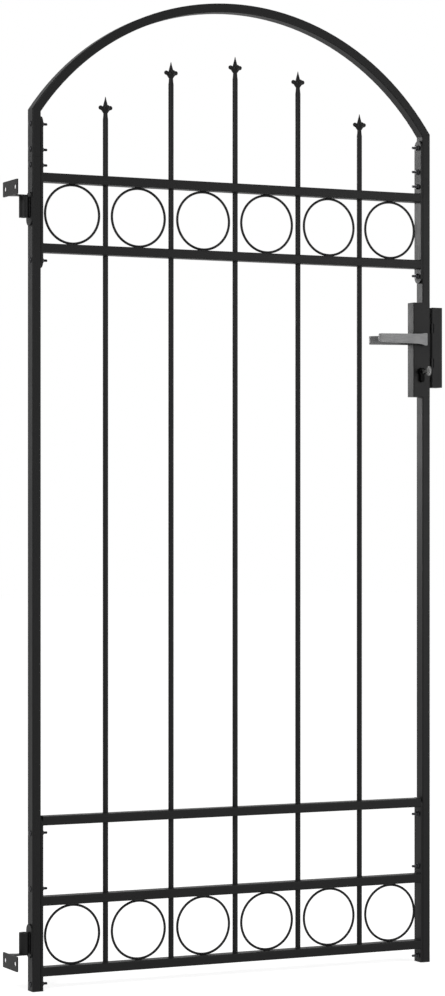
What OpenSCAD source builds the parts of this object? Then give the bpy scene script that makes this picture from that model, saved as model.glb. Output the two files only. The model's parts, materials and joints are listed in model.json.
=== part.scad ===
// Arched steel garden gate: a bolted frame of rectangular tube with a segmental
// arch, a welded infill of rails, round bars, rings and spear points, two
// lift-on pin hinges with bolted wall brackets, a lever lock and its keeper.
//
// The origin is on the wall-side face of the lower hinge bracket, midway
// between its two screw holes. +X runs from the hinge side to the lock side,
// +Z is up, and the front of the gate faces -Y.

/* [Gate frame] */
// Width of the gate leaf over its two stiles
gate_w = 1000; // [860:10:1200]
// Height of the leaf from the feet of the stiles to the crown of the arch
gate_h = 2200; // [2160:10:2700]
// Rise of the arch from the outer corners to the crown
arch_rise = 266; // [220:1:320]
// Width of the frame tube, seen from the front
tube_w = 20; // [18:1:30]
// Depth of the frame tube, front to back
tube_d = 30; // [26:1:40]
// Wall thickness of the frame tube
tube_wall = 1.5; // [1:0.1:2.5]
// Outer corner radius of the frame tube
tube_r = 2.5; // [1.6:0.1:4]
// Length of the legs of the arch, from the outer corners down to the splice
leg_l = 105; // [95:1:120]
// Gap left in the splice
splice_gap = 0.4; // [0.2:0.1:1]

/* [Rails] */
// Height of each rail tube
rail_h = 20; // [18:1:30]
// Clear height under the lowest rail
rail_lift = 31.8; // [30:1:50]
// Distance from the outer corners of the arch down to the middle of the top rail
top_rail_drop = 149.4; // [145:0.1:170]
// Clear height between the middle rail and the lower ring row
mid_gap = 156.2; // [120:0.1:220]

/* [Infill] */
// Diameter of each bar
bar_d = 12; // [10:0.5:16]
// Distance from each side of the gate to the middle of the nearest ring
end_ring_x = 100; // [96:1:110]
// Outer diameter of the rings
ring_od = 134.6; // [100:1:140]
// Diameter of the wire the rings are bent from
ring_wire = 5.5; // [4:0.5:8]
// Clear height between the middle spear point and the crown of the arch
crown_gap = 97.5; // [80:0.5:140]
// Distance that the outer spear points stand below the middle one
spear_fall = 110.7; // [90:0.1:140]

/* [Spear points] */
// Length of a spear point from its shoulder on the bar to its tip
spear_l = 52; // [46:1:70]
// Distance from the tip of a spear point down to the middle of its lobes
lobe_drop = 24.5; // [20:0.5:28]
// Diameter of the ball that ends each lobe
lobe_d = 9.8; // [7:0.2:12]
// Width over the lobes of the collar
spear_w = 33; // [28:1:44]
// Diameter of the neck under the collar
neck_d = 9.5; // [8:0.5:12]

/* [Bolted strips] */
// Thickness of the end strips that carry the rails
strip_t = 5; // [4:0.5:8]
// Distance from a strip end or a rail to the nearest bolt
bolt_edge = 17; // [12:1:20]
// Clearance hole for the strip bolts
bolt_hole = 6.6; // [5.5:0.1:9]
// Gap between pieces that are welded or bolted face to face
seat = 0.2; // [0.1:0.1:0.4]

/* [Hinges] */
// Distance from the wall face of the brackets to the hinge axis
axis_to_wall = 33; // [30:1:60]
// Wall of the hinge barrels
barrel_wall = 4.7; // [3:0.1:6]
// Length of the hinge barrels
barrel_l = 46; // [36:1:60]
// Diameter of the hinge pins
pin_d = 12; // [10:0.5:16]
// Running clearance round a hinge pin
pin_gap = 0.3; // [0.2:0.1:0.6]
// Thickness of the hinge plates and wall brackets
plate_t = 3; // [2.5:0.5:6]
// Height of the hinge plates
hinge_plate_h = 74; // [60:1:90]
// Height of the wall flange of a bracket
flange_h = 33; // [28:1:50]
// Depth of the wall flange, front to back
flange_w = 84; // [80:1:110]
// Width of the bracket tongue that holds the pin
tongue_w = 28; // [24:1:40]
// Spacing of the two wall screws
screw_pitch = 58; // [54:1:62]
// Diameter of the wall screw holes
screw_hole = 10.5; // [6:0.5:12]
// Depth of the countersink over a wall screw hole
sink_depth = 2; // [1:0.1:2.2]
// Height of the lower bracket's tongue above the feet of the stiles
lower_tongue_z = 83.5; // [80:0.5:160]
// Distance from the outer corners of the arch down to the upper bracket's tongue
upper_tongue_drop = 192.5; // [185:0.5:260]

/* [Lock] */
// Height of the lock case
case_h = 220; // [180:5:260]
// Width of the lock case
case_w = 44; // [42:1:60]
// Height of the lever spindle above the feet of the stiles
spindle_z = 1454; // [1440:0.5:1460]
// Distance from the lever spindle down to the cylinder
lock_centres = 75; // [70:1:85]
// Distance from the outer edge of the case to the spindle and the cylinder
backset = 24.5; // [24:0.5:28]
// Sheet thickness of the lock case
case_wall = 2; // [1.5:0.5:3]
// Length of each lever from the spindle to its tip
lever_l = 116; // [100:1:135]
// Height of a lever at its tip
lever_tip_h = 19.5; // [14:0.5:21]
// Height of a lever where its grip meets the flare of the hub
lever_grip_h = 23; // [20:0.5:26]
// Height of a lever at its hub
lever_hub_h = 28.5; // [27:0.5:34]
// Thickness of a lever, front to back
lever_t = 8; // [6:1:14]
// Distance from the face of the lock case to the back of a lever
lever_standoff = 5.2; // [5.1:0.1:45]
// Sag of the back lever from play on the spindle, in degrees
lever_play = 2; // [0:0.5:3]
// Side of the square lever spindle
spindle_side = 8; // [7:1:10]
// Distance that the cylinder stands out from each side of the case
cylinder_reach = 8; // [3:0.5:14]
// Gap between the lock stile and the keeper
keeper_gap = 6; // [5.5:0.5:15]
// Width of the keeper
keeper_w = 26; // [24:1:50]
// Height of the keeper
keeper_h = 187; // [160:1:220]

/* [Hidden] */
$fn = 96;

// The leaf stands in this frame: X = 0 on the outer face of the hinge stile,
// Y = 0 in the middle of its depth, Z = 0 at the feet of the stiles.
barrel_d = pin_d + 2 * (pin_gap + barrel_wall);
axis_x = -(2 * seat + plate_t + barrel_d / 2);
wall_x = axis_x - axis_to_wall;
origin_z = lower_tongue_z - flange_h / 2;

// Arch: one arc through both outer corners and the crown.
side_h = gate_h - arch_rise;
splice_h = side_h - leg_l;
arch_r = (pow(gate_w / 2, 2) + pow(arch_rise, 2)) / (2 * arch_rise);
arch_z = gate_h - arch_r;
inner_corner_z = arch_z + sqrt(pow(arch_r - tube_w, 2) - pow(gate_w / 2 - tube_w, 2));
mitre = atan2(side_h - inner_corner_z, tube_w);

// Rails, from the top of the gate down.
ring_step = ring_od + 2 * seat + rail_h;
rail_z5 = rail_lift + rail_h / 2;
rail_z4 = rail_z5 + ring_step;
rail_z3 = rail_z4 + rail_h + mid_gap;
rail_z1 = side_h - top_rail_drop;
rail_z2 = rail_z1 - ring_step;
RAIL_Z = [rail_z1, rail_z2, rail_z3, rail_z4, rail_z5];
inner_x = tube_w + seat + strip_t;
rail_l = gate_w - 2 * (inner_x + seat);

// Bars and rings, centred on the gate. The spear points fall away from the middle
// one along a curve of their own.
bar_count = 5;
bar_pitch = (gate_w - 2 * end_ring_x) / bar_count;
outer_bar = (bar_count - 1) / 2 * bar_pitch;
tip_curve = 2.3;
top_tip_z = gate_h - tube_w - crown_gap;
function bar_x(i) = gate_w / 2 + (i - (bar_count + 1) / 2) * bar_pitch;
function ring_x(i) = gate_w / 2 + (i - bar_count / 2) * bar_pitch;
function tip_z(i) = top_tip_z - spear_fall * pow(abs(bar_x(i) - gate_w / 2) / outer_bar, tip_curve);
bar_fit = 0.15;

// Strips and their bolts.
foot_cap = 3;
upper_strip_top = splice_h + 2 * bolt_edge + 56;
upper_strip_low = rail_z2 - rail_h / 2 - 2 * bolt_edge;
lower_strip_top = rail_z3 + rail_h / 2 - 1;
lower_strip_low = seat;
ARCH_BOLTS = [upper_strip_top - bolt_edge, splice_h + bolt_edge];
UPPER_BOLTS = [splice_h - bolt_edge, upper_strip_low + bolt_edge];
LOWER_BOLTS = [
    rail_z3 - rail_h / 2 - bolt_edge,
    rail_z4 + rail_h / 2 + bolt_edge,
    rail_lift - bolt_edge
];

// Hinges.
upper_tongue_z = side_h - upper_tongue_drop;
lower_barrel_z = lower_tongue_z + 0.5;
upper_barrel_z = upper_tongue_z - 0.5 - barrel_l;
pin_l = barrel_l - 4;
tongue_end = barrel_d / 2 - 2;
tongue_root = 6;
tongue_neck = axis_x - barrel_d / 2 - 5;

// Lock.
lock_x = gate_w - backset;
case_x = gate_w - case_w / 2;
case_drop = 24;
case_top = spindle_z + case_h / 2 - case_drop;
case_low = case_top - case_h;
cylinder_z = spindle_z - lock_centres;
latch_z = spindle_z + 27;
deadbolt_z = spindle_z - 54;
keeper_x = gate_w + keeper_gap;
keeper_z = spindle_z - 18;
keeper_t = 3;
bolt_l = 14;
bolt_t = 14.4;
bolt_h = 23.4;
collar_d = 17;
collar_gap = 0.3;
lever_hub_end = 12;
lever_rise = 1;
cylinder_d = 17;
cylinder_h = 33;
cylinder_l = tube_d + 2 * cylinder_reach;
plug_d = 10.4;
plug_l = 22;
key_t = 2.2;

// Moves a piece from the leaf's frame to the origin on the lower wall bracket.
module leaf_frame() {
    translate([-wall_x, 0, -origin_z]) children();
}

// Places a hinge-side piece on the lock side.
module lock_side() {
    translate([gate_w, 0, 0]) mirror([1, 0, 0]) children();
}

// Rectangle with true round corners.
module rounded_rect(w, d, r) {
    square([w - 2 * r, d], center = true);
    square([w, d - 2 * r], center = true);
    for (x = [-1, 1], y = [-1, 1])
        translate([x * (w / 2 - r), y * (d / 2 - r)]) circle(r);
}

// Section of a rectangular tube.
module tube_section(w, d, wall = tube_wall) {
    difference() {
        rounded_rect(w, d, tube_r);
        rounded_rect(w - 2 * wall, d - 2 * wall, tube_r - wall);
    }
}

// Upright tube between two heights, with its outer face on X = 0.
module upright(z0, z1) {
    translate([tube_w / 2, 0, z0]) linear_extrude(z1 - z0) tube_section(tube_w, tube_d);
}

// Bolt holes along X at a list of heights.
module bolt_holes(heights, x0 = -1, l = tube_w + 2) {
    for (z = heights)
        translate([x0, 0, z]) rotate([0, 90, 0]) cylinder(d = bolt_hole, h = l);
}

// Half space on one side of the mitre at the hinge-side corner.
module mitre_side(low, high) {
    translate([0, 0, side_h]) rotate([0, mitre, 0])
        translate([-tube_w, -tube_d, low]) cube([gate_w + 300, 2 * tube_d, high - low]);
}

module arch_bow() {
    color("#1d1d1f") leaf_frame() intersection() {
        translate([gate_w / 2, 0, arch_z]) rotate([90, 0, 0])
            rotate_extrude(start = 20, angle = 140, $fn = 240)
                translate([arch_r - tube_w / 2, 0]) tube_section(tube_w, tube_d);
        mitre_side(seat / 2, 700);
        lock_side() mitre_side(seat / 2, 700);
    }
}

module arch_leg() {
    difference() {
        intersection() {
            upright(splice_h + splice_gap / 2, side_h + tube_w);
            mitre_side(-400, -seat / 2);
        }
        bolt_holes(ARCH_BOLTS);
    }
}

module hinge_side_arch_leg() {
    color("#1d1d1f") leaf_frame() arch_leg();
}

module lock_side_arch_leg() {
    color("#1d1d1f") leaf_frame() lock_side() arch_leg();
}

module hinge_stile() {
    color("#1d1d1f") leaf_frame() difference() {
        upright(foot_cap, splice_h - splice_gap / 2);
        bolt_holes(concat(UPPER_BOLTS, LOWER_BOLTS));
    }
}

module lock_stile_upper() {
    color("#1d1d1f") leaf_frame() lock_side() difference() {
        upright(case_top + seat, splice_h - splice_gap / 2);
        bolt_holes(UPPER_BOLTS);
    }
}

module lock_stile_lower() {
    color("#1d1d1f") leaf_frame() lock_side() difference() {
        upright(foot_cap, case_low - seat);
        bolt_holes(LOWER_BOLTS);
    }
}

// Push-in foot cap: a flange under the tube and a plug inside it.
module foot_cap() {
    translate([tube_w / 2, 0, 0]) {
        linear_extrude(foot_cap - seat) rounded_rect(tube_w, tube_d, tube_r);
        linear_extrude(foot_cap + 5)
            rounded_rect(tube_w - 2 * (tube_wall + seat), tube_d - 2 * (tube_wall + seat), 1);
    }
}

module foot_caps() {
    color("#161617") leaf_frame() {
        foot_cap();
        lock_side() foot_cap();
    }
}

// Rail tube with holes for the bars that pass through it.
module rail(i) {
    color("#1d1d1f") leaf_frame() difference() {
        translate([inner_x + seat, 0, RAIL_Z[i - 1]]) rotate([0, 90, 0])
            linear_extrude(rail_l) tube_section(rail_h, tube_d);
        if (i < 5)
            for (b = [1:bar_count])
                translate([bar_x(b), 0, RAIL_Z[i - 1] - rail_h])
                    cylinder(d = bar_d + 2 * bar_fit, h = 2 * rail_h);
    }
}

// Round bar from the lowest rail to the shoulder of its spear point.
module bar(i) {
    foot_z = rail_z5 + rail_h / 2 + seat;
    color("#1d1d1f") leaf_frame() translate([bar_x(i), 0, foot_z])
        cylinder(d = bar_d, h = tip_z(i) - spear_l - seat - foot_z);
}

// One side lobe of a spear point: an arm that rises outwards to a ball.
module lobe() {
    ball_r = lobe_d / 2;
    reach = spear_w / 2 - ball_r;
    lift = 5;
    translate([0, 0, spear_l - lobe_drop - lift]) rotate([0, atan2(reach, lift), 0])
        cylinder(r1 = ball_r + 0.4, r2 = ball_r - 0.4, h = sqrt(reach * reach + lift * lift));
    translate([reach, 0, spear_l - lobe_drop]) sphere(ball_r);
}

// Spear point: a tapering neck, a cup that carries four lobes, and a spike.
module spear_point(i) {
    neck_r = neck_d / 2;
    cup_z = spear_l - lobe_drop;
    color("#1d1d1f") leaf_frame() translate([bar_x(i), 0, tip_z(i) - spear_l]) {
        rotate_extrude() polygon([
            [0, 0], [bar_d / 2, 0], [bar_d / 2, 1.5], [neck_r + 0.5, 7], [neck_r, cup_z - 12.5],
            [neck_r + 1.6, cup_z - 10], [neck_r + 4.1, cup_z - 6.5], [neck_r + 5, cup_z - 3],
            [neck_r + 5, cup_z], [neck_r + 4, cup_z + 2.5], [neck_r + 0.8, cup_z + 4],
            [neck_r - 0.2, cup_z + 8], [neck_r - 1.5, cup_z + 13], [neck_r - 3, cup_z + 18.5],
            [0.6, spear_l], [0, spear_l]
        ]);
        for (a = [0:90:270]) rotate([0, 0, a]) lobe();
    }
}

module ring_row(z) {
    for (i = [0:bar_count])
        translate([ring_x(i), 0, z]) rotate([90, 0, 0]) rotate_extrude()
            translate([(ring_od - ring_wire) / 2, 0]) circle(d = ring_wire, $fn = 36);
}

module upper_rings() {
    color("#1d1d1f") leaf_frame() ring_row((rail_z1 + rail_z2) / 2);
}

module lower_rings() {
    color("#1d1d1f") leaf_frame() ring_row((rail_z4 + rail_z5) / 2);
}

// Flat end strip on the inner face of a stile. Its top is half-round; its foot is
// half-round or square.
module strip(z0, z1, bolts, square_foot) {
    foot_h = square_foot ? 0 : tube_d / 2;
    difference() {
        translate([tube_w + seat, 0, 0]) rotate([90, 0, 90]) linear_extrude(strip_t) {
            translate([-tube_d / 2, z0 + foot_h]) square([tube_d, z1 - z0 - foot_h - tube_d / 2]);
            translate([0, z0 + tube_d / 2]) circle(d = tube_d);
            translate([0, z1 - tube_d / 2]) circle(d = tube_d);
        }
        bolt_holes(bolts, tube_w - 1, strip_t + 3);
    }
}

module upper_strip() {
    strip(upper_strip_low, upper_strip_top, concat(ARCH_BOLTS, UPPER_BOLTS), false);
}

module lower_strip() {
    strip(lower_strip_low, lower_strip_top, LOWER_BOLTS, true);
}

module hinge_side_upper_strip() {
    color("#1d1d1f") leaf_frame() upper_strip();
}

module lock_side_upper_strip() {
    color("#1d1d1f") leaf_frame() lock_side() upper_strip();
}

module hinge_side_lower_strip() {
    color("#1d1d1f") leaf_frame() lower_strip();
}

module lock_side_lower_strip() {
    color("#1d1d1f") leaf_frame() lock_side() lower_strip();
}

// Wall bracket, tongue up: a flange with two countersunk screw holes, and a bent
// tongue that holds the pin.
module wall_bracket() {
    flange_r = 2;
    difference() {
        union() {
            translate([wall_x, 0, -flange_h / 2]) rotate([90, 0, 90])
                linear_extrude(plate_t) rounded_rect(flange_w, flange_h, flange_r);
            translate([0, 0, -plate_t]) linear_extrude(plate_t) {
                polygon([
                    [wall_x, -tongue_w / 2], [wall_x + tongue_root, -tongue_w / 2],
                    [tongue_neck, -tongue_end], [axis_x, -tongue_end],
                    [axis_x, tongue_end], [tongue_neck, tongue_end],
                    [wall_x + tongue_root, tongue_w / 2], [wall_x, tongue_w / 2]
                ]);
                translate([axis_x, 0]) circle(tongue_end);
            }
        }
        for (y = [-1, 1])
            translate([wall_x, y * screw_pitch / 2, -flange_h / 2]) rotate([0, 90, 0]) {
                translate([0, 0, -1]) cylinder(d = screw_hole, h = plate_t + 2);
                translate([0, 0, plate_t - sink_depth])
                    cylinder(d1 = screw_hole, d2 = screw_hole + 2 * (sink_depth + 1), h = sink_depth + 1);
            }
        translate([axis_x, 0, -plate_t - 1]) cylinder(d = pin_d + 2 * bar_fit, h = plate_t + 2);
    }
}

// Hinge pin, seated through the tongue, with a chamfered tip.
module hinge_pin() {
    translate([axis_x, 0, -plate_t]) {
        cylinder(d = pin_d, h = plate_t + pin_l - 2);
        translate([0, 0, plate_t + pin_l - 2]) cylinder(d1 = pin_d, d2 = pin_d - 4, h = 2);
    }
}

module lower_wall_bracket() {
    color("#1d1d1f") leaf_frame() translate([0, 0, lower_tongue_z]) wall_bracket();
}

module upper_wall_bracket() {
    color("#1d1d1f") leaf_frame() translate([0, 0, upper_tongue_z]) mirror([0, 0, 1]) wall_bracket();
}

module lower_hinge_pin() {
    color("#2a2a2c") leaf_frame() translate([0, 0, lower_tongue_z]) hinge_pin();
}

module upper_hinge_pin() {
    color("#2a2a2c") leaf_frame() translate([0, 0, upper_tongue_z]) mirror([0, 0, 1]) hinge_pin();
}

// Barrel that turns on a hinge pin.
module barrel(z) {
    translate([axis_x, 0, z]) difference() {
        cylinder(d = barrel_d, h = barrel_l);
        translate([0, 0, -1]) cylinder(d = pin_d + 2 * pin_gap, h = barrel_l + 2);
    }
}

// Plate with half-round ends between a barrel and the stile.
module hinge_plate(z) {
    translate([-seat - plate_t, 0, z - hinge_plate_h / 2]) rotate([90, 0, 90])
        linear_extrude(plate_t) {
            translate([-tube_d / 2, tube_d / 2]) square([tube_d, hinge_plate_h - tube_d]);
            translate([0, tube_d / 2]) circle(d = tube_d);
            translate([0, hinge_plate_h - tube_d / 2]) circle(d = tube_d);
        }
}

module lower_hinge_barrel() {
    color("#1d1d1f") leaf_frame() barrel(lower_barrel_z);
}

module upper_hinge_barrel() {
    color("#1d1d1f") leaf_frame() barrel(upper_barrel_z);
}

module lower_hinge_plate() {
    color("#1d1d1f") leaf_frame() hinge_plate(lower_barrel_z + barrel_l / 2 + 3.5);
}

module upper_hinge_plate() {
    color("#1d1d1f") leaf_frame() hinge_plate(upper_barrel_z + barrel_l / 2 - 3.5);
}

// Europrofile of a lock cylinder, round part centred on the origin.
module europrofile(grow = 0) {
    circle(d = cylinder_d + 2 * grow);
    translate([0, -(cylinder_h - cylinder_d / 2) + 5]) circle(d = 10 + 2 * grow);
    translate([-5 - grow, -(cylinder_h - cylinder_d / 2) + 5])
        square([10 + 2 * grow, cylinder_h - cylinder_d / 2 - 5]);
}

// Lays an XZ outline along Y, from y0 towards the back.
module along_y(x, y0, z, l) {
    translate([x, y0 + l, z]) rotate([90, 0, 0]) linear_extrude(l) children();
}

// Slot along X that a latch or deadbolt passes through.
module bolt_slot(l) {
    cube([l, bolt_t + 0.6, bolt_h + 0.6], center = true);
}

module lock_case() {
    color("#1f1f21") leaf_frame() difference() {
        translate([case_x, 0, case_low]) linear_extrude(case_h) rounded_rect(case_w, tube_d, 2.2);
        translate([case_x, 0, case_low + case_wall]) linear_extrude(case_h - 2 * case_wall)
            square([case_w - 2 * case_wall, tube_d - 2 * case_wall], center = true);
        translate([lock_x, tube_d, spindle_z]) rotate([90, 0, 0])
            cylinder(d = collar_d + 2 * collar_gap, h = 2 * tube_d);
        along_y(lock_x, -tube_d, cylinder_z, 2 * tube_d) europrofile(0.6);
        for (z = [latch_z, deadbolt_z])
            translate([gate_w, 0, z]) bolt_slot(12);
    }
}

module lock_cylinder() {
    color("#0e0e0f") leaf_frame() difference() {
        along_y(lock_x, -cylinder_l / 2, cylinder_z, cylinder_l) europrofile();
        translate([lock_x, -cylinder_l / 2 + plug_l + 0.3, cylinder_z]) rotate([90, 0, 0])
            cylinder(d = plug_d + 0.4, h = plug_l + 2);
    }
}

// Latch and deadbolt, both drawn back to the edge of the case.
module lock_bolts() {
    color("#8d8d8f") leaf_frame() for (z = [latch_z, deadbolt_z])
        translate([gate_w - 0.5 - bolt_l, -bolt_t / 2, z - bolt_h / 2]) cube([bolt_l, bolt_t, bolt_h]);
}

// Lever outline, spindle at the origin and tip towards -X: the grip tapers to the
// tip, and two concave arcs flare it to the hub. The grip sits a little above the
// middle of the hub.
module lever_outline() {
    hub_r = 4;
    flare_x = -17;
    flare_l = 20;
    tip_r = 3.5;
    difference() {
        union() {
            translate([flare_x, -lever_hub_h / 2]) square([lever_hub_end - hub_r - flare_x, lever_hub_h]);
            translate([0, -lever_hub_h / 2 + hub_r]) square([lever_hub_end, lever_hub_h - 2 * hub_r]);
            for (z = [-1, 1])
                translate([lever_hub_end - hub_r, z * (lever_hub_h / 2 - hub_r)]) circle(hub_r);
        }
        for (z = [-1, 1]) {
            flare_h = (lever_hub_h - lever_grip_h) / 2 - z * lever_rise;
            flare_r = (pow(flare_l, 2) + pow(flare_h, 2)) / (2 * flare_h);
            translate([flare_x, z * (lever_grip_h / 2 + flare_r) + lever_rise])
                circle(flare_r, $fn = 240);
        }
    }
    translate([0, lever_rise]) {
        polygon([
            [flare_x, lever_grip_h / 2], [flare_x, -lever_grip_h / 2],
            [-lever_l + tip_r, -lever_tip_h / 2], [-lever_l, -lever_tip_h / 2 + tip_r],
            [-lever_l, lever_tip_h / 2 - tip_r], [-lever_l + tip_r, lever_tip_h / 2]
        ]);
        for (z = [-1, 1])
            translate([-lever_l + tip_r, z * (lever_tip_h / 2 - tip_r)]) circle(tip_r);
    }
}

// Plan of a lever, with its front corners rounded.
module lever_plan() {
    front_r = 3.5;
    l = lever_l + lever_hub_end;
    translate([-lever_l, front_r]) square([l, lever_t]);
    translate([-lever_l + front_r, 0]) square([l - 2 * front_r, lever_t]);
    for (x = [-lever_l + front_r, lever_hub_end - front_r])
        translate([x, front_r]) circle(front_r);
}

// Lever in front of the case, with a collar towards it and a square socket.
module lever() {
    back_y = -tube_d / 2 - lever_standoff;
    difference() {
        union() {
            intersection() {
                along_y(lock_x, back_y - lever_t, spindle_z, lever_t) lever_outline();
                translate([lock_x, back_y - lever_t, spindle_z - lever_hub_h])
                    linear_extrude(2 * lever_hub_h) lever_plan();
            }
            along_y(lock_x, back_y, spindle_z, lever_standoff + case_wall) circle(d = collar_d);
        }
        along_y(lock_x, back_y - 4, spindle_z, lever_standoff + 10)
            square(spindle_side + 2 * seat, center = true);
    }
}

module front_lever() {
    color("#8b8b8b") leaf_frame() lever();
}

module back_lever() {
    color("#8b8b8b") leaf_frame() translate([lock_x, 0, spindle_z]) rotate([0, -lever_play, 0])
        translate([-lock_x, 0, -spindle_z]) mirror([0, 1, 0]) lever();
}

module lever_spindle() {
    half_l = tube_d / 2 + lever_standoff + 3.5;
    color("#9a9a9a") leaf_frame()
        along_y(lock_x, -half_l, spindle_z, 2 * half_l) square(spindle_side, center = true);
}

// Front plug of the cylinder, with the slot that takes the key.
module cylinder_plug() {
    color("#a9a9a9") leaf_frame() difference() {
        along_y(lock_x, -cylinder_l / 2, cylinder_z, plug_l) circle(d = plug_d);
        along_y(lock_x, -cylinder_l / 2 - 1, cylinder_z, plug_l - 1)
            square([key_t + 2 * seat, 8 + 2 * seat], center = true);
    }
}

// Flat key: blade in the plug, neck, and a short bow with an oval hole.
module key() {
    bow_w = 18.5;
    bow_h = 22;
    neck_l = 20;
    face_y = -cylinder_l / 2;
    bow_y = face_y - neck_l - bow_w / 2;
    color("#b9b9b9") leaf_frame() translate([lock_x - key_t / 2, 0, cylinder_z])
        rotate([90, 0, 90]) linear_extrude(key_t) difference() {
            union() {
                translate([face_y - 2, -4]) square([2 + plug_l - 3, 8]);
                translate([face_y - neck_l - 3, -3]) square([neck_l + 2, 6]);
                translate([bow_y, 0]) rounded_rect(bow_w, bow_h, 7.5);
            }
            translate([bow_y - 1, 0]) rounded_rect(5, 12, 2.4);
        }
}

// Keeper: a folded box whose web faces the lock. The latch and deadbolt enter two
// pockets in the web, a narrow slot is cut in the front fold beside each, and the
// back is screwed to the post through larger access holes.
module keeper() {
    screw_z = 75;
    fold_w = 4.4;
    fold_h = 22;
    color("#1f1f21") leaf_frame() difference() {
        translate([keeper_x, -tube_d / 2, keeper_z - keeper_h / 2])
            cube([keeper_w, tube_d, keeper_h]);
        translate([keeper_x + keeper_t, -tube_d / 2 + keeper_t, keeper_z - keeper_h / 2 + keeper_t])
            cube([keeper_w - 2 * keeper_t, tube_d - 2 * keeper_t, keeper_h - 2 * keeper_t]);
        for (z = [latch_z, deadbolt_z]) {
            translate([keeper_x, 0, z]) bolt_slot(2 * keeper_t + 1);
            translate([keeper_x - 1, -tube_d / 2 - 1, z - fold_h / 2]) cube([fold_w + 1, keeper_t, fold_h]);
        }
        for (z = [-1, 1]) {
            translate([keeper_x + keeper_w - keeper_t - 1, 0, keeper_z + z * screw_z])
                rotate([0, 90, 0]) cylinder(d = 6.5, h = keeper_t + 2);
            translate([keeper_x - 1, 0, keeper_z + z * screw_z])
                rotate([0, 90, 0]) cylinder(d = 13, h = keeper_t + 2);
        }
    }
}

lower_wall_bracket();
upper_wall_bracket();
lower_hinge_pin();
upper_hinge_pin();
keeper();
arch_bow();
hinge_side_arch_leg();
lock_side_arch_leg();
hinge_stile();
lock_stile_upper();
lock_stile_lower();
foot_caps();
lower_hinge_plate();
upper_hinge_plate();
lower_hinge_barrel();
upper_hinge_barrel();
for (i = [1:5])
    rail(i);
for (i = [1:bar_count])
    bar(i);
for (i = [1:bar_count])
    spear_point(i);
upper_rings();
lower_rings();
hinge_side_upper_strip();
lock_side_upper_strip();
hinge_side_lower_strip();
lock_side_lower_strip();
lock_case();
lock_cylinder();
lock_bolts();
front_lever();
back_lever();
lever_spindle();
cylinder_plug();
key();
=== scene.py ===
"""Looks of the arched steel garden gate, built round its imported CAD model.

Everything is in metres, in the CAD frame: +X from the hinge side to the lock side,
+Z up, front of the gate towards -Y. Places come from the boxes of the CAD nodes.
"""

import json
import math
import random

import bmesh
import bpy
from mathutils import Matrix, Vector


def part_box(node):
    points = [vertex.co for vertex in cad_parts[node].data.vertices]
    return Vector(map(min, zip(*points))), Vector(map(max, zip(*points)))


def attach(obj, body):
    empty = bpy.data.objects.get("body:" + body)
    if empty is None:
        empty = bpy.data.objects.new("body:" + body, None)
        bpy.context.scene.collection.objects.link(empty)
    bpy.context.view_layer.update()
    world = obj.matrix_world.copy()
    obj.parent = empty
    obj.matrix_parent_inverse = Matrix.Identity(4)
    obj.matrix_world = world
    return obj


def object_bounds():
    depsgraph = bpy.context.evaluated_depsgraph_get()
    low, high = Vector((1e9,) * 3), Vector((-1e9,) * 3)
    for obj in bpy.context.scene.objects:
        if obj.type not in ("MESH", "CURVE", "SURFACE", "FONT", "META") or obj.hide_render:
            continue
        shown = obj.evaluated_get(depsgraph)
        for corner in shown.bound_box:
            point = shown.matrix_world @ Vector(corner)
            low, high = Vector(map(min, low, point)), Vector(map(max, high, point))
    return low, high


MM = 0.001
RAIL_COUNT = 5
BAR_COUNT = 5
RINGS_IN_ROW = 6
# Distance from a bolt's axis to the end of its strip or rail, as in the CAD model
BOLT_EDGE = 17 * MM
# Distance between the points that a weld bead is drawn through
BEAD_STEP = 0.55 * MM
# Angle above which an edge of a weld stays sharp
WELD_SMOOTH = 60

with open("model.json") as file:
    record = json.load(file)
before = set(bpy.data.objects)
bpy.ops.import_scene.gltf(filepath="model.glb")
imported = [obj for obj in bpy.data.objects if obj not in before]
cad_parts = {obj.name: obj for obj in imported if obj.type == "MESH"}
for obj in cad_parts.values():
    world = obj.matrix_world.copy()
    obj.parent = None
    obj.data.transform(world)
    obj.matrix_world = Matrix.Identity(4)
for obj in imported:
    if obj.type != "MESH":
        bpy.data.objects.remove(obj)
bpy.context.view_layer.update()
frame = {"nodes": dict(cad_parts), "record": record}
NODES = frame["nodes"]


# ---------------------------------------------------------------- materials


def new_material(name, color, roughness, metallic=0.0, specular=0.5):
    """A Principled material, with its shader and node tree."""
    material = bpy.data.materials.new(name)
    material.use_nodes = True
    tree = material.node_tree
    shader = tree.nodes["Principled BSDF"]
    shader.inputs["Base Color"].default_value = (*color, 1)
    shader.inputs["Roughness"].default_value = roughness
    shader.inputs["Metallic"].default_value = metallic
    shader.inputs["Specular IOR Level"].default_value = specular
    return material, tree, shader


def object_noise(tree, scale, detail=2.0, stretch=(1, 1, 1)):
    """Noise in the object's own space, scale in waves per metre."""
    place = tree.nodes.new("ShaderNodeTexCoord")
    mapping = tree.nodes.new("ShaderNodeMapping")
    mapping.inputs["Scale"].default_value = stretch
    noise = tree.nodes.new("ShaderNodeTexNoise")
    noise.inputs["Scale"].default_value = scale
    noise.inputs["Detail"].default_value = detail
    tree.links.new(place.outputs["Object"], mapping.inputs["Vector"])
    tree.links.new(mapping.outputs["Vector"], noise.inputs["Vector"])
    return noise.outputs["Fac"]


def spread(tree, value, low, high):
    """Spreads the middle half of a noise over a range of values."""
    node = tree.nodes.new("ShaderNodeMapRange")
    node.inputs["From Min"].default_value = 0.25
    node.inputs["From Max"].default_value = 0.75
    node.inputs["To Min"].default_value = low
    node.inputs["To Max"].default_value = high
    tree.links.new(value, node.inputs["Value"])
    return node.outputs["Result"]


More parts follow.
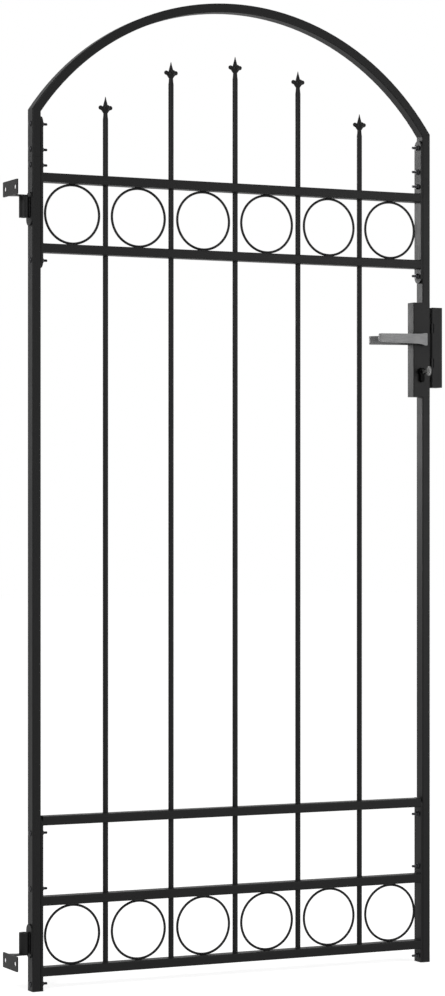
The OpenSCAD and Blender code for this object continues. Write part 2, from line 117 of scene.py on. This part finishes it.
def two_tone(tree, value, dark, light):
    """Mixes two colours by a noise."""
    ramp = tree.nodes.new("ShaderNodeValToRGB")
    ramp.color_ramp.elements[0].position = 0.3
    ramp.color_ramp.elements[0].color = (*dark, 1)
    ramp.color_ramp.elements[1].position = 0.7
    ramp.color_ramp.elements[1].color = (*light, 1)
    tree.links.new(value, ramp.inputs["Fac"])
    return ramp.outputs["Color"]


def bump(tree, shader, heights):
    """Chains bumps; each height is (value, depth in metres)."""
    normal = None
    for value, depth in heights:
        node = tree.nodes.new("ShaderNodeBump")
        node.inputs["Distance"].default_value = depth
        tree.links.new(value, node.inputs["Height"])
        if normal is not None:
            tree.links.new(normal, node.inputs["Normal"])
        normal = node.outputs["Normal"]
    tree.links.new(normal, shader.inputs["Normal"])


def powder_coat(name="powder_coat", dark=0.004, light=0.006, rough=(0.45, 0.53), specular=0.155):
    """Satin black powder coat: fine orange peel, and faint clouds in tone and gloss."""
    material, tree, shader = new_material(name, (light,) * 3, rough[0], specular=specular)
    cloud = object_noise(tree, scale=22, detail=3)
    tone = two_tone(tree, cloud, (dark,) * 3, (light, light, light * 1.04))
    tree.links.new(tone, shader.inputs["Base Color"])
    tree.links.new(spread(tree, cloud, *rough), shader.inputs["Roughness"])
    peel = object_noise(tree, scale=650, detail=2)
    grit = object_noise(tree, scale=2600, detail=1)
    bump(tree, shader, [(peel, 0.00002), (grit, 0.000006)])
    return material


def moulded_plastic():
    """Matt black plastic with the fine spark texture of a moulded cap."""
    material, tree, shader = new_material("foot_cap_plastic", (0.006,) * 3, 0.62, specular=0.3)
    spark = object_noise(tree, scale=1800, detail=2)
    tree.links.new(spread(tree, spark, 0.56, 0.7), shader.inputs["Roughness"])
    bump(tree, shader, [(spark, 0.00006)])
    return material


def lever_metal():
    """Satin grey aluminium, brushed along the lever."""
    material, tree, shader = new_material("lever_metal", (0.14, 0.14, 0.14), 0.55, metallic=1.0)
    grain = object_noise(tree, scale=900, detail=2, stretch=(0.06, 1, 1))
    cloud = object_noise(tree, scale=60, detail=2)
    tone = two_tone(tree, cloud, (0.13, 0.13, 0.132), (0.15, 0.15, 0.15))
    tree.links.new(tone, shader.inputs["Base Color"])
    tree.links.new(spread(tree, grain, 0.5, 0.62), shader.inputs["Roughness"])
    bump(tree, shader, [(grain, 0.00001)])
    return material


def plated_metal(name, color, roughness, grain_depth=0.000015):
    """Plated or blackened steel, with drawn grain and clouds in its gloss."""
    material, tree, shader = new_material(name, color, roughness, metallic=1.0)
    grain = object_noise(tree, scale=1400, detail=2, stretch=(1, 1, 0.25))
    cloud = object_noise(tree, scale=140, detail=3)
    dark = tuple(0.86 * channel for channel in color)
    tree.links.new(two_tone(tree, cloud, dark, color), shader.inputs["Base Color"])
    gloss = spread(tree, cloud, roughness - 0.06, roughness + 0.08)
    tree.links.new(gloss, shader.inputs["Roughness"])
    bump(tree, shader, [(grain, grain_depth)])
    return material


LOOKS = {
    "black_powder_coat": powder_coat(),
    "black_plastic": moulded_plastic(),
    "lever_aluminium": lever_metal(),
    "pin_steel": plated_metal("dark_pin_steel", (0.05, 0.05, 0.053), 0.38),
    "zinc_plated_steel": plated_metal("zinc_plate", (0.42, 0.42, 0.43), 0.34),
    "cylinder_black": powder_coat(
        "cylinder_black", dark=0.001, light=0.0015, rough=(0.3, 0.4), specular=0.02
    ),
    "key_nickel": plated_metal("nickel", (0.12, 0.12, 0.118), 0.55, grain_depth=0.000004),
}


def dress_frame():
    """Gives every CAD node the material of its slot in the record."""
    for part in frame["record"]["subparts"]:
        mesh = NODES[part["node"]].data
        mesh.materials.clear()
        mesh.materials.append(LOOKS[part["material_slot"]])


# ------------------------------------------------------------------ pieces


def finish_piece(name, shape, slot, body, smooth_angle=40):
    """Turns a bmesh into a piece with its slot's material that rides on a body."""
    bmesh.ops.remove_doubles(shape, verts=shape.verts, dist=0.2e-6)
    bmesh.ops.recalc_face_normals(shape, faces=shape.faces)
    mesh = bpy.data.meshes.new(name)
    shape.to_mesh(mesh)
    shape.free()
    mesh.materials.append(LOOKS[slot])
    mesh.shade_smooth()
    mesh.set_sharp_from_angle(angle=math.radians(smooth_angle))
    piece = bpy.data.objects.new(name, mesh)
    bpy.context.scene.collection.objects.link(piece)
    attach(piece, body)


def lathe(shape, profile, place, steps=32):
    """Adds a turned form: profile is a list of (radius, height) from axis to axis."""
    rings = []
    for radius, height in profile:
        if radius == 0:
            rings.append([shape.verts.new(place @ Vector((0, 0, height)))])
            continue
        ring = []
        for k in range(steps):
            turn = 2 * math.pi * k / steps
            point = Vector((radius * math.cos(turn), radius * math.sin(turn), height))
            ring.append(shape.verts.new(place @ point))
        rings.append(ring)
    join_rings(shape, rings)


def join_rings(shape, rings):
    """Bridges neighbouring rings of points with faces; a ring of one point is a tip."""
    for low, high in zip(rings, rings[1:]):
        for k in range(max(len(low), len(high))):
            corners = [low[k % len(low)], low[(k + 1) % len(low)]]
            corners += [high[(k + 1) % len(high)], high[k % len(high)]]
            unique = list(dict.fromkeys(corners))
            if len(unique) > 2:
                shape.faces.new(unique)


def aim(point, axis):
    """Matrix that puts local +Z along an axis, from a point."""
    turn = Vector(axis).to_track_quat("Z", "Y").to_matrix().to_4x4()
    return Matrix.Translation(point) @ turn


def thread(shape, place, radius, length, pitch, depth, steps=24, rows=6):
    """Adds a rod with a helical thread and a chamfered end."""
    rings = [[shape.verts.new(place @ Vector((0, 0, 0)))]]
    count = int(length / pitch * rows)
    for row in range(count + 1):
        height = length * row / count
        end = min(1.0, (length - height) / pitch)
        ring = []
        for k in range(steps):
            turn = 2 * math.pi * k / steps
            wave = abs(((height / pitch - k / steps) % 1.0) * 2 - 1)
            reach = radius - depth * wave - depth * (1 - end)
            ring.append(shape.verts.new(place @ Vector(
                (reach * math.cos(turn), reach * math.sin(turn), height))))
        rings.append(ring)
    rings.append([shape.verts.new(place @ Vector((0, 0, length)))])
    join_rings(shape, rings)


def bead(shape, path, radius, closed, seed, ripple=0.16, pitch=2.2 * MM, sides=8):
    """Adds a weld bead: a rippled tube along a path, tapered at the ends of an open one."""
    jitter = 0.04
    blunt = 0.15
    taper = 1.5 * radius
    rng = random.Random(seed)
    points = [Vector(p) for p in path]
    if closed:
        points.append(points[0])
    line = []
    for a, b in zip(points, points[1:]):
        count = max(1, round((b - a).length / BEAD_STEP))
        line += [a.lerp(b, k / count) for k in range(count)]
    if not closed:
        line.append(points[-1])
    phase = rng.uniform(0, math.tau)
    rings = []
    travelled = 0.0
    for k, point in enumerate(line):
        after = line[(k + 1) % len(line)] if closed else line[min(k + 1, len(line) - 1)]
        before = line[k - 1] if closed else line[max(k - 1, 0)]
        along = (after - before).normalized()
        travelled += (point - before).length if k else 0.0
        wave = 0.5 + 0.5 * math.sin(math.tau * travelled / pitch + phase)
        size = radius * (1 - ripple * wave + rng.uniform(-jitter, jitter))
        if not closed:
            rest = min(k, len(line) - 1 - k) * BEAD_STEP
            size *= math.sqrt(min(1.0, blunt + rest / taper))
        turn = along.to_track_quat("Z", "Y")
        ring = []
        for side in range(sides):
            angle = math.tau * side / sides
            offset = turn @ Vector((size * math.cos(angle), size * math.sin(angle), 0))
            ring.append(shape.verts.new(point + offset))
        rings.append(ring)
    if closed:
        rings.append(rings[0])
    join_rings(shape, rings)
    if not closed:
        shape.faces.new(rings[0])
        shape.faces.new(rings[-1])


def rectangle(center, half_u, half_v, axis, corner=2.4 * MM, arc=4):
    """Points of a round-cornered rectangle across an axis, X or Z."""
    points = []
    for side_u, side_v, start in ((1, 1, 0), (-1, 1, 1), (-1, -1, 2), (1, -1, 3)):
        for k in range(arc + 1):
            angle = (start + k / arc) * math.pi / 2
            u = side_u * (half_u - corner) + corner * math.cos(angle)
            v = side_v * (half_v - corner) + corner * math.sin(angle)
            offset = Vector((0, u, v)) if axis == "X" else Vector((u, v, 0))
            points.append(Vector(center) + offset)
    return points


def circle(center, radius, steps=28):
    """Points of a level circle."""
    return [
        Vector(center) + Vector((radius * math.cos(a), radius * math.sin(a), 0))
        for a in (math.tau * k / steps for k in range(steps))
    ]


# ----------------------------------------------------------------- bolts


def bolt_heights():
    """Heights of the frame bolts, from the ends of the strips and rails they stand by."""
    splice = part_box("hinge_stile")[1].z
    low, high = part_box("hinge_side_upper_strip")
    upper = [high.z - BOLT_EDGE, splice + BOLT_EDGE, splice - BOLT_EDGE, low.z + BOLT_EDGE]
    lower = [
        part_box("rail_3")[0].z - BOLT_EDGE,
        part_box("rail_4")[1].z + BOLT_EDGE,
        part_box("rail_5")[0].z - BOLT_EDGE,
    ]
    return upper + lower


def frame_bolt(name, outer, inner, height, way):
    """M6 x 40 dome-head bolt through a stile and its strip, with a flange nut."""
    into = Vector((way, 0, 0))
    start = Vector((outer, 0, height))
    seat = aim(Vector((inner, 0, height)), into)
    add_bolt(name, start, into)
    add_nut(name, seat)


def add_bolt(name, start, into):
    """Dome head on the stile, plain shank through it, and the thread beyond."""
    head_radius = 6.3 * MM
    rim = 0.5 * MM
    sunk = -0.1 * MM
    rise = 3.4 * MM
    dome_steps = 8
    shank = 3 * MM
    length = 40 * MM
    plain = 24 * MM
    pitch = 1.0 * MM
    thread_depth = 0.55 * MM
    shape = bmesh.new()
    dome = [(0, sunk), (head_radius, sunk), (head_radius, rim)]
    for k in range(1, dome_steps):
        angle = k / dome_steps * math.pi / 2
        dome.append((head_radius * math.cos(angle), rim + rise * math.sin(angle)))
    dome.append((0, rim + rise))
    lathe(shape, dome, aim(start, -into))
    lathe(shape, [(0, 0), (shank, 0), (shank, plain), (0, plain)], aim(start, into), steps=24)
    thread(shape, aim(start + into * plain, into), shank, length - plain, pitch, thread_depth)
    finish_piece(f"{name}_bolt", shape, "pin_steel", "leaf")


def add_nut(name, seat):
    """Flange against the strip, and the hexagon that stands on it."""
    hole = 3.05 * MM
    flange = 6.9 * MM
    flange_edge = 0.7 * MM
    flange_round = 0.4 * MM
    flange_top = 1.9 * MM
    neck = 5.2 * MM
    half_flat = 5.0 * MM
    hexagon_low = 1.2 * MM
    hexagon_high = 6.0 * MM
    shape = bmesh.new()
    lathe(shape, [
        (hole, 0), (flange, 0), (flange, flange_edge), (flange - flange_round, 1.1 * MM),
        (neck, flange_top), (hole, flange_top),
    ], seat, steps=36)
    hexagon(shape, seat, half_flat, hexagon_low, hexagon_high, hole)
    finish_piece(f"{name}_nut", shape, "pin_steel", "leaf", smooth_angle=30)


def hexagon(shape, place, half_flat, low, high, hole):
    """Adds a hexagon with chamfered corners and a hole."""
    corner = half_flat / math.cos(math.pi / 6)
    steps = 48
    rings = []
    for radius_cut, height in (
        (half_flat, low), (corner, low + 0.5 * MM),
        (corner, high - 0.6 * MM), (half_flat - 0.2 * MM, high), (hole, high), (hole, low),
    ):
        ring = []
        for k in range(steps):
            turn = math.tau * k / steps
            local = (turn + math.pi / 6) % (math.pi / 3) - math.pi / 6
            flat = half_flat / math.cos(local)
            reach = radius_cut if radius_cut <= half_flat else min(flat, radius_cut)
            point = Vector((reach * math.cos(turn), reach * math.sin(turn), height))
            ring.append(shape.verts.new(place @ point))
        rings.append(ring)
    join_rings(shape, rings + [rings[0]])


def add_bolts():
    """Seven bolts on each stile."""
    for side, stile, strip, way in (
        ("hinge_side", "hinge_stile", "hinge_side_upper_strip", 1),
        ("lock_side", "lock_stile_lower", "lock_side_upper_strip", -1),
    ):
        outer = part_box(stile)[0 if way > 0 else 1].x
        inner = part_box(strip)[1 if way > 0 else 0].x
        for k, height in enumerate(bolt_heights(), 1):
            frame_bolt(f"{side}_{k}", outer, inner, height, way)


# ----------------------------------------------------------------- welds


def add_rail_welds():
    """Fillet beads round both ends of each rail, where it meets its strip."""
    bead_radius = 1.2 * MM
    lap = 0.2 * MM
    inset_y = 0.9 * MM
    inset_z = 0.1 * MM
    for number in range(1, RAIL_COUNT + 1):
        shape = bmesh.new()
        low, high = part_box(f"rail_{number}")
        middle = (low + high) / 2
        for side, x in enumerate((low.x + lap, high.x - lap)):
            half_depth = (high.y - low.y) / 2 - inset_y
            half_height = (high.z - low.z) / 2 - inset_z
            path = rectangle((x, middle.y, middle.z), half_depth, half_height, "X")
            bead(shape, path, bead_radius, True, 10 * number + side)
        finish_piece(f"rail_{number}_welds", shape, "black_powder_coat", "leaf", WELD_SMOOTH)


def add_bar_welds():
    """Beads round each bar, above every rail that it meets and below all but the lowest."""
    bead_radius = 0.9 * MM
    clear = 0.3 * MM
    for number in range(1, BAR_COUNT + 1):
        shape = bmesh.new()
        low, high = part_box(f"bar_{number}")
        middle = (low + high) / 2
        radius = (high.x - low.x) / 2
        for rail in range(1, RAIL_COUNT + 1):
            rail_low, rail_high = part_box(f"rail_{rail}")
            heights = [rail_high.z]
            if rail < RAIL_COUNT:
                heights.append(rail_low.z)
            for k, z in enumerate(heights):
                path = circle((middle.x, middle.y, z), radius + clear)
                seed = 100 * number + 10 * rail + k
                bead(shape, path, bead_radius, True, seed, ripple=0.2)
        finish_piece(f"bar_{number}_welds", shape, "black_powder_coat", "leaf", WELD_SMOOTH)


def add_spear_welds():
    """Ground bead between each bar and its spear point."""
    bead_radius = 0.5 * MM
    rise = 0.1 * MM
    inset = 0.35 * MM
    for number in range(1, BAR_COUNT + 1):
        shape = bmesh.new()
        low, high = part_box(f"bar_{number}")
        middle = (low + high) / 2
        path = circle((middle.x, middle.y, high.z + rise), (high.x - low.x) / 2 - inset)
        bead(shape, path, bead_radius, True, 900 + number, ripple=0.08)
        finish_piece(f"spear_{number}_weld", shape, "black_powder_coat", "leaf", WELD_SMOOTH)


def add_ring_welds():
    """Short beads where each ring touches the rail above and the rail below it."""
    rows = (("upper_rings", "rail_1", "rail_2"), ("lower_rings", "rail_4", "rail_5"))
    bead_radius = 1.3 * MM
    half_length = 7 * MM
    rise = 0.1 * MM
    off_middle = 0.75
    for row, above, below in rows:
        shape = bmesh.new()
        low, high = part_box(row)
        radius = (high.z - low.z) / 2
        wire = (high.y - low.y) / 2
        pitch = (high.x - low.x - 2 * radius) / (RINGS_IN_ROW - 1)
        for k in range(RINGS_IN_ROW):
            x = low.x + radius + k * pitch
            for z, way in ((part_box(above)[0].z, -1), (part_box(below)[1].z, 1)):
                for side in (-1, 1):
                    y = side * wire * off_middle
                    level = z + way * rise
                    path = [(x - half_length, y, level), (x + half_length, y, level)]
                    bead(shape, path, bead_radius, False, 40 * k + side + way)
        finish_piece(f"{row}_welds", shape, "black_powder_coat", "leaf", WELD_SMOOTH)


def add_hinge_welds():
    """Beads round each hinge plate on the stile, and along its barrel."""
    stile_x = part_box("hinge_stile")[0].x
    arc_steps = 24
    plate_bead = 1.0 * MM
    plate_inset = 0.8 * MM
    clear = 0.3 * MM
    barrel_bead = 1.9 * MM
    lap = 0.1 * MM
    bead_y = 4.6 * MM
    end_margin = 2 * MM
    for level in ("lower", "upper"):
        shape = bmesh.new()
        low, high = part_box(f"{level}_hinge_plate")
        middle = (low + high) / 2
        half = (high.y - low.y) / 2 - plate_inset
        straight = (high.z - low.z) / 2 - (high.y - low.y) / 2
        path = []
        for start, center_z in ((0, middle.z + straight), (1, middle.z - straight)):
            for k in range(arc_steps + 1):
                angle = math.pi * (start + k / arc_steps)
                z = center_z + half * math.sin(angle)
                path.append((stile_x - clear, half * math.cos(angle), z))
        bead(shape, path, plate_bead, True, 70 + len(level))
        barrel_low, barrel_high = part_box(f"{level}_hinge_barrel")
        for side in (-1, 1):
            x = low.x + lap
            y = side * bead_y
            ends = [(x, y, barrel_low.z + end_margin), (x, y, barrel_high.z - end_margin)]
            bead(shape, ends, barrel_bead, False, 80 + side)
        finish_piece(f"{level}_hinge_welds", shape, "black_powder_coat", "leaf", WELD_SMOOTH)


def add_case_welds():
    """Beads where the lock stile enters the top and the bottom of the lock case."""
    bead_radius = 1.1 * MM
    inset = 0.9 * MM
    shape = bmesh.new()
    case_low, case_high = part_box("lock_case")
    for seed, (stile, z) in enumerate(
        (("lock_stile_upper", case_high.z), ("lock_stile_lower", case_low.z))
    ):
        low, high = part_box(stile)
        center = ((low.x + high.x) / 2, 0, z)
        half_x = (high.x - low.x) / 2 - inset
        half_y = (high.y - low.y) / 2 - inset
        path = rectangle(center, half_x, half_y, "Z")
        bead(shape, path, bead_radius, True, 60 + seed)
    finish_piece("lock_case_welds", shape, "black_powder_coat", "leaf", WELD_SMOOTH)


# ---------------------------------------------------------------- studio


def mirrored(tree, light_path):
    """1 for rays from the camera and for rays that gloss or glass send on, else 0."""
    seen = tree.nodes.new("ShaderNodeMath")
    seen.operation = "MAXIMUM"
    clear = tree.nodes.new("ShaderNodeMath")
    clear.operation = "MAXIMUM"
    tree.links.new(light_path.outputs["Is Camera Ray"], seen.inputs[0])
    tree.links.new(light_path.outputs["Is Glossy Ray"], seen.inputs[1])
    tree.links.new(seen.outputs["Value"], clear.inputs[0])
    tree.links.new(light_path.outputs["Is Transmission Ray"], clear.inputs[1])
    return clear.outputs["Value"]


def studio_material(name, color, lift):
    """Pale matt surface, lifted towards white for the camera, gloss and glass."""
    material, tree, shader = new_material(name, (color,) * 3, 0.9, specular=0.1)
    light_path = tree.nodes.new("ShaderNodeLightPath")
    glow = tree.nodes.new("ShaderNodeMath")
    glow.operation = "MULTIPLY"
    glow.inputs[1].default_value = lift
    tree.links.new(mirrored(tree, light_path), glow.inputs[0])
    shader.inputs["Emission Color"].default_value = (1, 1, 1, 1)
    tree.links.new(glow.outputs["Value"], shader.inputs["Emission Strength"])
    return material


def add_floor():
    """Plain pale floor just under the feet. Lit and lifted it is white, and keeps the shadow."""
    gap = 0.5 * MM
    floor_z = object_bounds()[0].z - gap
    color = 0.8
    lift = 0.74
    shape = bmesh.new()
    bmesh.ops.create_grid(shape, x_segments=8, y_segments=8, size=30)
    mesh = bpy.data.meshes.new("floor")
    shape.to_mesh(mesh)
    shape.free()
    floor = bpy.data.objects.new("floor", mesh)
    floor.location.z = floor_z
    mesh.materials.append(studio_material("floor_white", color, lift))
    bpy.context.scene.collection.objects.link(floor)


def add_lamp(name, place, target, width, height, power, cone=180):
    """Rectangular soft lamp that points at a target, with its cone in degrees."""
    data = bpy.data.lights.new(name, "AREA")
    data.shape = "RECTANGLE"
    data.size = width
    data.size_y = height
    data.energy = power
    data.spread = math.radians(cone)
    lamp = bpy.data.objects.new(name, data)
    aimed = (Vector(target) - Vector(place)).to_track_quat("-Z", "Y")
    lamp.rotation_euler = aimed.to_euler()
    lamp.location = place
    bpy.context.scene.collection.objects.link(lamp)


def add_world():
    """White to the camera, gloss and glass, and a soft fill for everything else."""
    fill = 0.3
    white = 1.0
    world = bpy.data.worlds.new("studio")
    bpy.context.scene.world = world
    world.use_nodes = True
    tree = world.node_tree
    back = tree.nodes["Background"]
    light_path = tree.nodes.new("ShaderNodeLightPath")
    strength = tree.nodes.new("ShaderNodeMapRange")
    strength.inputs["To Min"].default_value = fill
    strength.inputs["To Max"].default_value = white
    tree.links.new(mirrored(tree, light_path), strength.inputs["Value"])
    tree.links.new(strength.outputs["Result"], back.inputs["Strength"])
    back.inputs["Color"].default_value = (1, 1, 1, 1)


def add_camera():
    """Level camera in front of the hinge side, turned towards the lock side."""
    data = bpy.data.cameras.new("camera")
    data.sensor_fit = "VERTICAL"
    sensor = 36
    turn = -25.745
    data.sensor_height = sensor
    data.sensor_width = sensor
    data.lens = 104.4
    data.shift_x = 0.0003
    data.shift_y = 0.0221
    data.clip_end = 100
    camera = bpy.data.objects.new("camera", data)
    camera.location = (-2.323, -5.885, 0.9658)
    camera.rotation_euler = (math.radians(90), 0, math.radians(turn))
    bpy.context.scene.collection.objects.link(camera)
    bpy.context.scene.camera = camera


def add_studio():
    """Floor, world, lamps and camera."""
    add_floor()
    add_world()
    middle = (0.6, 0, 1.3)
    lock_side = (0.9, 0, 1.4)
    lock = (1.03, 0, 1.5)
    add_lamp("key", (-2.6, -3.4, 3.0), middle, width=0.9, height=0.9, power=100)
    add_lamp("back", (-0.4, 2.8, 1.85), lock, width=0.8, height=1.3, power=1.5, cone=28)
    add_lamp("fill", (2.45, -2.6, 1.4), lock_side, width=0.9, height=1.7, power=30)
    add_camera()
    bpy.context.scene.view_settings.view_transform = "Standard"


# ------------------------------------------------------------------ build

dress_frame()
add_bolts()
add_rail_welds()
add_bar_welds()
add_spear_welds()
add_ring_welds()
add_hinge_welds()
add_case_welds()
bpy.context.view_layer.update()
add_studio()
